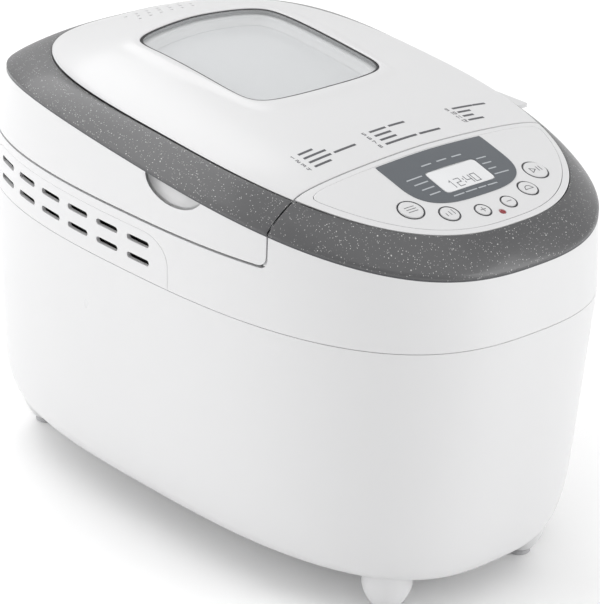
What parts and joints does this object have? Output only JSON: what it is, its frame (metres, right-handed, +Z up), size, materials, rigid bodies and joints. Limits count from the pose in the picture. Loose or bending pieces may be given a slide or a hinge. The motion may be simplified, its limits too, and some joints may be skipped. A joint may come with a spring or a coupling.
{
  "type": "bread machine",
  "caption": "Countertop bread machine with a side-hinged windowed lid, speckled ring, sloping control deck, tapered body, lift-out pan and kneading paddles.",
  "frame": {"origin": "middle of the footprint at the height of the surface it stands on", "axes": "+Z up, -Y towards the control end, +X towards the side where the lid is hinged"},
  "size_m": [0.2418, 0.387, 0.2662],
  "materials": {
    "white_gloss": "semi gloss",
    "white_satin": "satin",
    "speckled_ring": "satin with light speckles",
    "grey_plastic": "satin",
    "rubber": "matt",
    "belt_rubber": "matt",
    "panel_print": "satin print",
    "display": "reflective liquid crystal",
    "red_lens": "glossy",
    "circuit_board": "satin",
    "steel": "polished",
    "galvanised": "satin",
    "element": "oxidised",
    "motor_paint": "satin",
    "cast_metal": "cast",
    "pulley_plastic": "satin",
    "bronze": "sintered",
    "nonstick": "non-stick coating",
    "lid_metal": "satin",
    "clear_glass": "clear"
  },
  "bodies": {
    "housing": {"lower_housing": "white_gloss", "upper_housing": "white_gloss", "left_vent_panel": "white_gloss", "right_vent_panel": "white_gloss", "base_plate": "grey_plastic", "front_left_foot": "white_satin", "front_right_foot": "white_satin", "rear_left_foot": "white_satin", "rear_right_foot": "white_satin", "foot_pads": "rubber", "cord_gland": "grey_plastic", "casing_screws": "steel", "front_ring": "speckled_ring", "control_deck": "white_gloss", "display_panel": "panel_print", "display_window": "display", "lcd_module": "display", "power_led": "red_lens", "control_board": "circuit_board", "hinge_cover": "white_gloss", "hinge_pin": "steel", "oven_chamber": "galvanised", "heating_element": "element", "temperature_probe": "steel", "thermal_cutout": "steel", "power_board": "circuit_board", "chassis_plate": "galvanised", "motor": "motor_paint", "main_belt": "belt_rubber", "tie_belt": "belt_rubber", "drive_bushes": "bronze"},
    "lid": {"lid_shell": "white_gloss", "lid_ring": "speckled_ring", "lid_skirt": "white_gloss", "lid_liner": "lid_metal", "lid_seal": "rubber", "window_glass": "clear_glass", "window_pane": "clear_glass", "window_frame": "white_satin"},
    "rotor": {"motor_pulley": "pulley_plastic"},
    "front_drive": {"front_pulley": "pulley_plastic", "front_drive_shaft": "steel", "front_coupling": "cast_metal"},
    "rear_drive": {"rear_pulley": "pulley_plastic", "rear_drive_shaft": "steel", "rear_coupling": "cast_metal"},
    "pan": {"bread_pan": "nonstick", "pan_seals": "bronze"},
    "bail": {"pan_bail": "steel"},
    "front_kneader": {"front_kneading_shaft": "steel", "front_paddle": "nonstick"},
    "rear_kneader": {"rear_kneading_shaft": "steel", "rear_paddle": "nonstick"},
    "menu_key": {"menu_button": "white_satin"},
    "size_key": {"size_button": "white_satin"},
    "plus_key": {"plus_button": "white_satin"},
    "minus_key": {"minus_button": "white_satin"},
    "crust_key": {"crust_button": "white_satin"},
    "start_key": {"start_button": "white_satin"}
  },
  "joints": [
    {"name": "lid_hinge", "type": "hinge", "parent": "housing", "child": "lid", "pos_m": [0.1129, 0, 0.2215], "axis": [0, 1, 0], "range_deg": [0, 95]},
    {"name": "pan_lift", "type": "slide", "parent": "housing", "child": "pan", "axis": [0, 0, 1], "range_m": [0, 0.01]},
    {"name": "bail_swing", "type": "hinge", "parent": "pan", "child": "bail", "pos_m": [0, 0.0275, 0.16], "axis": [0, 1, 0], "range_deg": [0, 148]},
    {"name": "front_drive_spin", "type": "hinge", "parent": "housing", "child": "front_drive", "pos_m": [0, -0.0245, 0.04], "axis": [0, 0, 1], "continuous": true},
    {"name": "rear_drive_spin", "type": "hinge", "parent": "housing", "child": "rear_drive", "pos_m": [0, 0.0795, 0.031], "axis": [0, 0, 1], "continuous": true},
    {"name": "motor_spin", "type": "hinge", "parent": "housing", "child": "rotor", "pos_m": [0, -0.137, 0.04], "axis": [0, 0, 1], "continuous": true},
    {"name": "front_knead", "type": "hinge", "parent": "pan", "child": "front_kneader", "pos_m": [0, -0.0245, 0.08], "axis": [0, 0, 1], "continuous": true},
    {"name": "rear_knead", "type": "hinge", "parent": "pan", "child": "rear_kneader", "pos_m": [0, 0.0795, 0.08], "axis": [0, 0, 1], "continuous": true},
    {"name": "menu_press", "type": "slide", "parent": "housing", "child": "menu_key", "axis": [0, 0.2773, -0.9608], "range_m": [0, 0.001], "stiffness_N_per_m": 300, "springref_m": -0.001},
    {"name": "size_press", "type": "slide", "parent": "housing", "child": "size_key", "axis": [0, 0.2773, -0.9608], "range_m": [0, 0.001], "stiffness_N_per_m": 300, "springref_m": -0.001},
    {"name": "plus_press", "type": "slide", "parent": "housing", "child": "plus_key", "axis": [0, 0.2773, -0.9608], "range_m": [0, 0.001], "stiffness_N_per_m": 300, "springref_m": -0.001},
    {"name": "minus_press", "type": "slide", "parent": "housing", "child": "minus_key", "axis": [0, 0.2773, -0.9608], "range_m": [0, 0.001], "stiffness_N_per_m": 300, "springref_m": -0.001},
    {"name": "crust_press", "type": "slide", "parent": "housing", "child": "crust_key", "axis": [0, 0.2773, -0.9608], "range_m": [0, 0.001], "stiffness_N_per_m": 300, "springref_m": -0.001},
    {"name": "start_press", "type": "slide", "parent": "housing", "child": "start_key", "axis": [0, 0.2773, -0.9608], "range_m": [0, 0.001], "stiffness_N_per_m": 300, "springref_m": -0.001}
  ],
  "couplings": [
    {"joint": "motor_spin", "follows": "front_drive_spin", "ratio": 4.5},
    {"joint": "rear_drive_spin", "follows": "front_drive_spin", "ratio": 1},
    {"joint": "front_knead", "follows": "front_drive_spin", "ratio": 1},
    {"joint": "rear_knead", "follows": "front_drive_spin", "ratio": 1}
  ]
}
